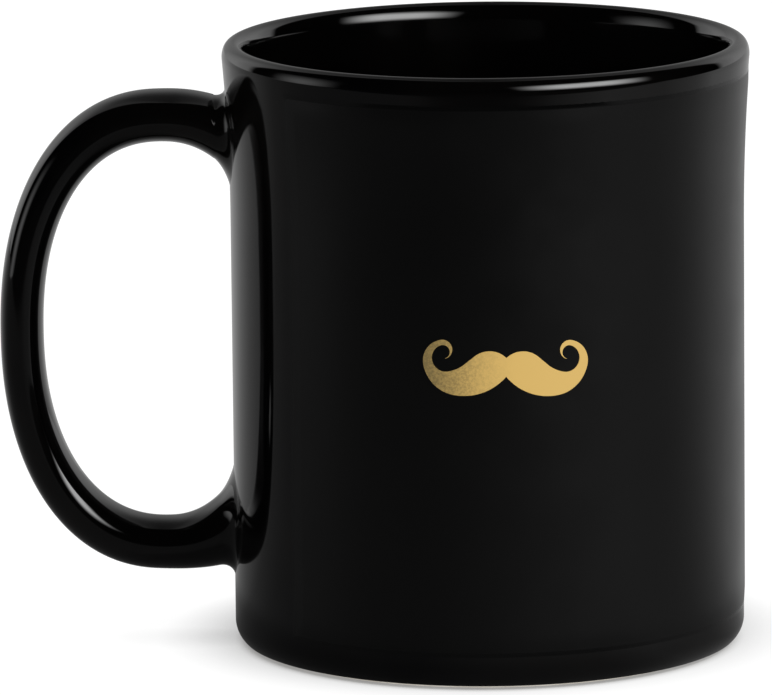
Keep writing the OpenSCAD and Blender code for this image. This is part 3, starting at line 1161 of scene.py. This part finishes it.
@dataclass
class Studio:
    """The camera at the photograph's angle, a pale floor, soft boxes, and a surround that is white behind."""

    image_size: tuple[int, int] = (772, 695)
    camera_distance: float = 1400.0
    camera_elevation: float = 10.67
    camera_roll: float = -0.455
    focal_px: float = 8855.0
    centre_px: Pair = (487.66, 339.14)
    sensor: float = 36.0
    clip: Pair = (0.01, 50.0)
    floor_radius: float = 3.0
    floor_rings: int = 24
    floor_spokes: int = 96
    floor_white: float = 0.92
    floor_colour: Colour = (0.2, 0.2, 0.2, 1.0)
    floor_bounce: float = 0.7
    shadow_reach: float = 13.0
    shadow_open: Pair = (0.3, 1.0)
    shadow_samples: int = 16
    shadow_depth: float = 0.25
    shadow_fall: float = 0.6
    shadow_facing: tuple[float, float, float] = (0.2, -0.5, 0.84)
    table_edge: Pair = (-330.0, -270.0)
    past_table: float = 0.1
    near_mug: Pair = (54.0, 72.0)
    near_glow: float = 0.6
    fill: float = 0.6
    key: float = 1.13
    key_azimuth: float = 15.0
    key_elevation: float = 25.0
    backdrop: float = 1.0
    overhead: float = 0.4
    overhead_from: Pair = (0.3, 0.8)
    boxes: tuple[Box, ...] = (
        Box("front_right_box", azimuth=44.5, elevation=22.0, wide=64.0, tall=30.0, glow=8.8, fade=0.8),
        Box("left_box", azimuth=-85.0, elevation=6.0, wide=43.0, tall=48.0, glow=1.2, fade=1.0),
    )
    floor_glow: Levels = ((-180, 0.5), (-150, 0.48), (-136, 0.36), (-129, 0.29), (-112, 0.19), (-104, 0.13),
                          (-90, 0.1), (-70, 0.09), (-20, 0.08), (0, 0.13), (33, 0.18), (52, 0.31), (80, 0.24),
                          (102, 0.36), (114, 0.55), (130, 0.48), (180, 0.5))
    sky_glow: Levels = ((-180, 0.3), (-160, 0.45), (-140, 1), (-126, 1), (-121, 0), (121, 0), (126, 1),
                        (140, 1), (160, 0.55), (180, 0.3))

    def camera(self, aim: Vector) -> None:
        """Makes the camera and sets it as the scene's.

        It stands in front of the mug, and is turned so that the middle of the picture is on its axis.

        Args:
            aim: Point that the picture's fitted centre looks at.
        """
        back = towards(0.0, self.camera_elevation)
        place = aim + back * self.camera_distance * MM
        roll = Matrix.Rotation(math.radians(self.camera_roll), 3, "Z")
        facing = back.to_track_quat("Z", "Y").to_matrix() @ roll
        wide, tall = self.image_size
        off_x, off_y = wide / 2 - self.centre_px[0], self.centre_px[1] - tall / 2
        axis = -(facing @ Vector((off_x / self.focal_px, off_y / self.focal_px, -1.0))).normalized()
        right = (facing @ Vector((0, 1, 0))).cross(axis).normalized()
        rotation = Matrix((right, axis.cross(right), axis)).transposed()
        data = bpy.data.cameras.new("camera")
        data.sensor_fit = "HORIZONTAL"
        data.sensor_width = self.sensor
        data.lens = self.focal_px * self.sensor / wide
        data.clip_start, data.clip_end = self.clip
        piece = placed("camera", data)
        piece.matrix_world = Matrix.Translation(place) @ rotation.to_4x4()
        bpy.context.scene.camera = piece

    def floor(self) -> None:
        """Makes the round floor, a grid of rings and spokes, and its pale finish that keeps the shadow."""
        radius = np.linspace(0, self.floor_radius, self.floor_rings)
        angles = np.linspace(0, 2 * np.pi, self.floor_spokes, endpoint=False)
        grid = revolve(np.stack([radius, np.zeros_like(radius)], axis=1), angles)
        faces = grid_faces(len(radius), len(angles), Joins.COLUMNS)
        points = grid.reshape(-1, 3)
        same = np.arange(len(points))
        same[:len(angles)] = 0
        mesh = bpy.data.meshes.new("floor")
        mesh.from_pydata(points.tolist(), [], Skin.corners(same[faces][:, ::-1]))
        mesh.materials.append(self.floor_material())
        piece = placed("floor", mesh)

    @staticmethod
    def around(nodes: Nodes, direction: bpy.types.NodeSocket, levels: Levels) -> bpy.types.NodeSocket:
        """Level of a direction, by its angle round the mug.

        Args:
            nodes: Tree to work in.
            direction: Place or direction, as a vector.
            levels: Angle from -Y towards +X, in degrees from -180 to 180, and the level there, up to 1.

        Returns:
            The level.
        """
        axes = nodes.add("ShaderNodeSeparateXYZ", {0: direction}).outputs
        angle = nodes.math("ARCTAN2", axes["X"], nodes.math("MULTIPLY", axes["Y"], -1.0))
        share = nodes.math("MULTIPLY_ADD", angle, 0.5 / math.pi, 0.5)
        ramp = nodes.add("ShaderNodeValToRGB", {"Fac": share})
        stops = ramp.color_ramp.elements
        for number, (degrees, level) in enumerate(levels):
            place = degrees / 360 + 0.5
            stop = stops[number] if number < 2 else stops.new(place)
            stop.position, stop.color = place, (level, level, level, 1.0)
        return nodes.add("ShaderNodeSeparateColor", {0: ramp.outputs["Color"]}).outputs[0]

    @staticmethod
    def mirrored(path: bpy.types.bpy_prop_collection, nodes: Nodes) -> bpy.types.NodeSocket:
        """1 for a ray that shows in gloss or through glass, otherwise 0."""
        return nodes.math("MAXIMUM", path["Is Glossy Ray"], path["Is Transmission Ray"])

    def floor_material(self) -> bpy.types.Material:
        """Pale floor: white to the camera but for a shadow, and to gloss a table that ends in front.

        The shadow is the lit part's own, and the white's occlusion within a short reach of the mug, which
        faces the light.

        Returns:
            The material.
        """
        material = bpy.data.materials.new("pale_floor")
        material.cycles.emission_sampling = "NONE"
        nodes = Nodes.cleared(material)
        path = nodes.add("ShaderNodeLightPath").outputs
        place = nodes.add("ShaderNodeTexCoord").outputs["Object"]
        lit = nodes.add("ShaderNodeBsdfDiffuse", {"Color": self.floor_colour}).outputs[0]
        facing = nodes.add("ShaderNodeCombineXYZ", dict(enumerate(self.shadow_facing))).outputs[0]
        reach = {"Distance": self.shadow_reach * MM, "Normal": facing}
        near = nodes.add("ShaderNodeAmbientOcclusion", reach, samples=self.shadow_samples).outputs["AO"]
        lightened = nodes.math("POWER", nodes.remap(near, self.shadow_open, kind="LINEAR"), self.shadow_fall)
        shadow_to_white = (self.shadow_depth * self.floor_white, self.floor_white)
        clear = nodes.remap(lightened, (0.0, 1.0), shadow_to_white, "LINEAR")
        bounce = nodes.math("MULTIPLY", path["Is Diffuse Ray"], self.floor_bounce)
        glow = nodes.math("MULTIPLY_ADD", path["Is Camera Ray"], clear, bounce)
        white = nodes.add("ShaderNodeEmission", {"Strength": glow}).outputs[0]
        seen = nodes.add("ShaderNodeAddShader", {0: lit, 1: white}).outputs[0]
        depth = nodes.add("ShaderNodeSeparateXYZ", {0: place}).outputs["Y"]
        table_edge, near_mug = (tuple(v * MM for v in span) for span in (self.table_edge, self.near_mug))
        table = nodes.remap(depth, table_edge, (self.past_table, 1.0))
        # Painted shadow: what gloss sees of the floor is dimmed towards near_glow close to the mug, rising to
        # full over the near_mug distances from its axis.
        away = nodes.add("ShaderNodeVectorMath", {0: place}, operation="LENGTH").outputs["Value"]
        shaded = nodes.remap(away, near_mug, (self.near_glow, 1.0))
        around = self.around(nodes, place, self.floor_glow)
        level = nodes.math("MULTIPLY", around, nodes.math("MULTIPLY", table, shaded))
        gloss = nodes.add("ShaderNodeEmission", {"Strength": level}).outputs[0]
        shown = {0: self.mirrored(path, nodes), 1: seen, 2: gloss}
        surface = nodes.add("ShaderNodeMixShader", shown).outputs[0]
        nodes.add("ShaderNodeOutputMaterial", {"Surface": surface})
        return material

    def world(self) -> None:
        """White to the camera, a soft light from the front on the object, and a white sweep in its gloss."""
        world = bpy.data.worlds.new("surround")
        world.cycles.sampling_method = "NONE"
        nodes = Nodes.cleared(world)
        path = nodes.add("ShaderNodeLightPath").outputs
        direction = nodes.add("ShaderNodeTexCoord").outputs["Generated"]
        front = towards(self.key_azimuth, self.key_elevation)
        facing = nodes.add("ShaderNodeVectorMath", {0: direction, 1: front}, operation="DOT_PRODUCT")
        lit = nodes.math("MAXIMUM", facing.outputs["Value"], 0.0)
        soft = nodes.math("MULTIPLY_ADD", lit, self.key, self.fill)
        height = nodes.add("ShaderNodeSeparateXYZ", {0: direction}).outputs["Z"]
        low = nodes.remap(height, self.overhead_from, (self.backdrop, self.overhead))
        gloss = nodes.math("MULTIPLY", self.around(nodes, direction, self.sky_glow), low)
        mirrored = self.mirrored(path, nodes)
        strength = nodes.math("MULTIPLY_ADD", mirrored, nodes.math("SUBTRACT", gloss, soft), soft)
        shown = nodes.math("SUBTRACT", 1.0, path["Is Camera Ray"])
        strength = nodes.math("MULTIPLY_ADD", shown, strength, path["Is Camera Ray"])
        sky = nodes.add("ShaderNodeBackground", {"Strength": strength}).outputs[0]
        nodes.add("ShaderNodeOutputWorld", {"Surface": sky})
        bpy.context.scene.world = world

    def build(self, mug_height: float) -> None:
        """Sets up the camera, floor, surround and lamps.

        Args:
            mug_height: Height of the mug, whose middle the camera and lamps face, in millimetres.
        """
        aim = Vector((0, 0, mug_height / 2 * MM))
        self.camera(aim)
        self.floor()
        self.world()
        for box in self.boxes:
            box.light(aim)
        bpy.context.scene.view_settings.view_transform = "Standard"


def dress(pieces: list[bpy.types.Object], material: bpy.types.Material) -> None:
    """Gives pieces one material and reports them.

    Args:
        pieces: Objects to dress.
        material: Their finish.
    """
    for piece in pieces:
        piece.data.materials.clear()
        piece.data.materials.append(material)
        LOG.info("%s: %d faces, %s", piece.name, len(piece.data.polygons), material.name)


def main() -> None:
    """Builds the mug's pieces and their finishes, then the set."""
    logging.basicConfig(level=logging.INFO, format="%(name)s: %(message)s")
    vessel = Vessel()
    wrap = PrintedWrap(vessel)
    glaze = GlossGlaze().material()
    dress(vessel.build(), glaze)
    dress(Handle(vessel).build(), glaze)
    dress(wrap.build(), SatinPrint().material())
    dress(Moustache(wrap).build(), GoldFoil().material())
    dress([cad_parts[name] for name in CARRIED_OVER], BareClay().material())
    Studio().build(vessel.mug_height)


if __name__ == "__main__":
    main()
